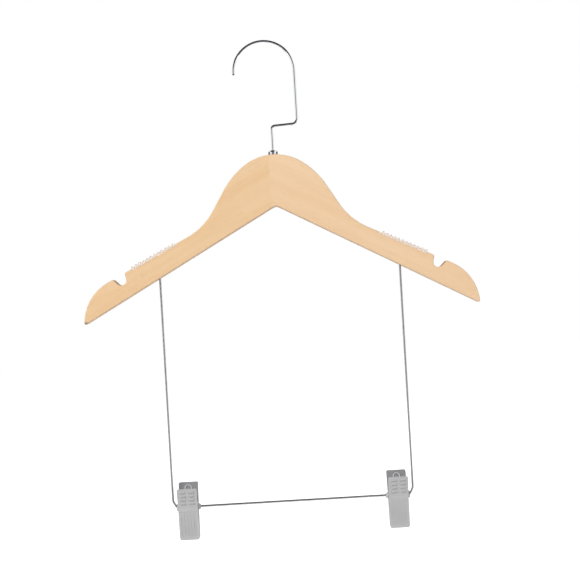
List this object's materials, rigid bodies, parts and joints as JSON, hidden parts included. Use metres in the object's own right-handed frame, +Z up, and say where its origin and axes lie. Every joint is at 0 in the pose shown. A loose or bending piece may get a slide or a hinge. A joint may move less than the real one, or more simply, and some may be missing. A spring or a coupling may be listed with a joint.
{
  "type": "skirt hanger",
  "caption": "Flat wooden coat hanger with a swivelling wire hook, strap notches, ribbed shoulder grips and a wire drop frame that carries sliding sprung clips for a skirt.",
  "frame": {"origin": "where the hook's swivel axis meets the underside of the hook, the point that bears on a rail", "axes": "+X to the wearer's left, the viewer's right; +Y towards the back; +Z up along the swivel axis"},
  "size_m": [0.3558, 0.0229, 0.4461],
  "materials": {
    "lacquered_wood": "clear satin lacquer",
    "chromed_wire": "bright chrome plate",
    "chromed_ferrule": "bright chrome plate",
    "clear_grip": "clear soft vinyl",
    "plated_wire": "satin zinc plate",
    "moulded_grey": "satin moulded grey",
    "soft_pad": "matte soft vinyl",
    "spring_steel": "bright drawn wire"
  },
  "bodies": {
    "hook": {"hook": "chromed_wire"},
    "shoulder": {"left_arm": "lacquered_wood", "right_arm": "lacquered_wood", "hook_ferrule": "chromed_ferrule", "left_shoulder_grip": "clear_grip", "right_shoulder_grip": "clear_grip", "drop_frame": "plated_wire"},
    "left_clip_bush": {"left_hinge_bush": "moulded_grey", "left_bush_cap": "moulded_grey"},
    "left_clip_rear": {"left_rear_jaw": "moulded_grey", "left_rear_pad": "soft_pad", "left_clip_spring": "spring_steel"},
    "left_clip_front": {"left_front_jaw": "moulded_grey", "left_front_pad": "soft_pad"},
    "right_clip_bush": {"right_hinge_bush": "moulded_grey", "right_bush_cap": "moulded_grey"},
    "right_clip_rear": {"right_rear_jaw": "moulded_grey", "right_rear_pad": "soft_pad", "right_clip_spring": "spring_steel"},
    "right_clip_front": {"right_front_jaw": "moulded_grey", "right_front_pad": "soft_pad"}
  },
  "joints": [
    {"name": "hook_swivel", "type": "hinge", "parent": "hook", "child": "shoulder", "pos_m": [0, 0, 0], "axis": [0, 0, 1], "continuous": true},
    {"name": "left_clip_slide", "type": "slide", "parent": "shoulder", "child": "left_clip_bush", "axis": [1, 0, 0], "range_m": [0, 0.0825]},
    {"name": "left_clip_swing", "type": "hinge", "parent": "left_clip_bush", "child": "left_clip_rear", "pos_m": [-0.09477, 0, -0.414], "axis": [1, 0, 0], "continuous": true},
    {"name": "left_jaw_open", "type": "hinge", "parent": "left_clip_rear", "child": "left_clip_front", "pos_m": [-0.09477, 0, -0.414], "axis": [-1, 0, 0], "range_deg": [0, 40], "stiffness_Nm_per_rad": 0.1, "springref_deg": -57.3, "deforming": ["left_clip_spring"]},
    {"name": "right_clip_slide", "type": "slide", "parent": "shoulder", "child": "right_clip_bush", "axis": [-1, 0, 0], "range_m": [0, 0.0825]},
    {"name": "right_clip_swing", "type": "hinge", "parent": "right_clip_bush", "child": "right_clip_rear", "pos_m": [0.09477, 0, -0.414], "axis": [1, 0, 0], "continuous": true},
    {"name": "right_jaw_open", "type": "hinge", "parent": "right_clip_rear", "child": "right_clip_front", "pos_m": [0.09477, 0, -0.414], "axis": [-1, 0, 0], "range_deg": [0, 40], "stiffness_Nm_per_rad": 0.1, "springref_deg": -57.3, "deforming": ["right_clip_spring"]}
  ]
}
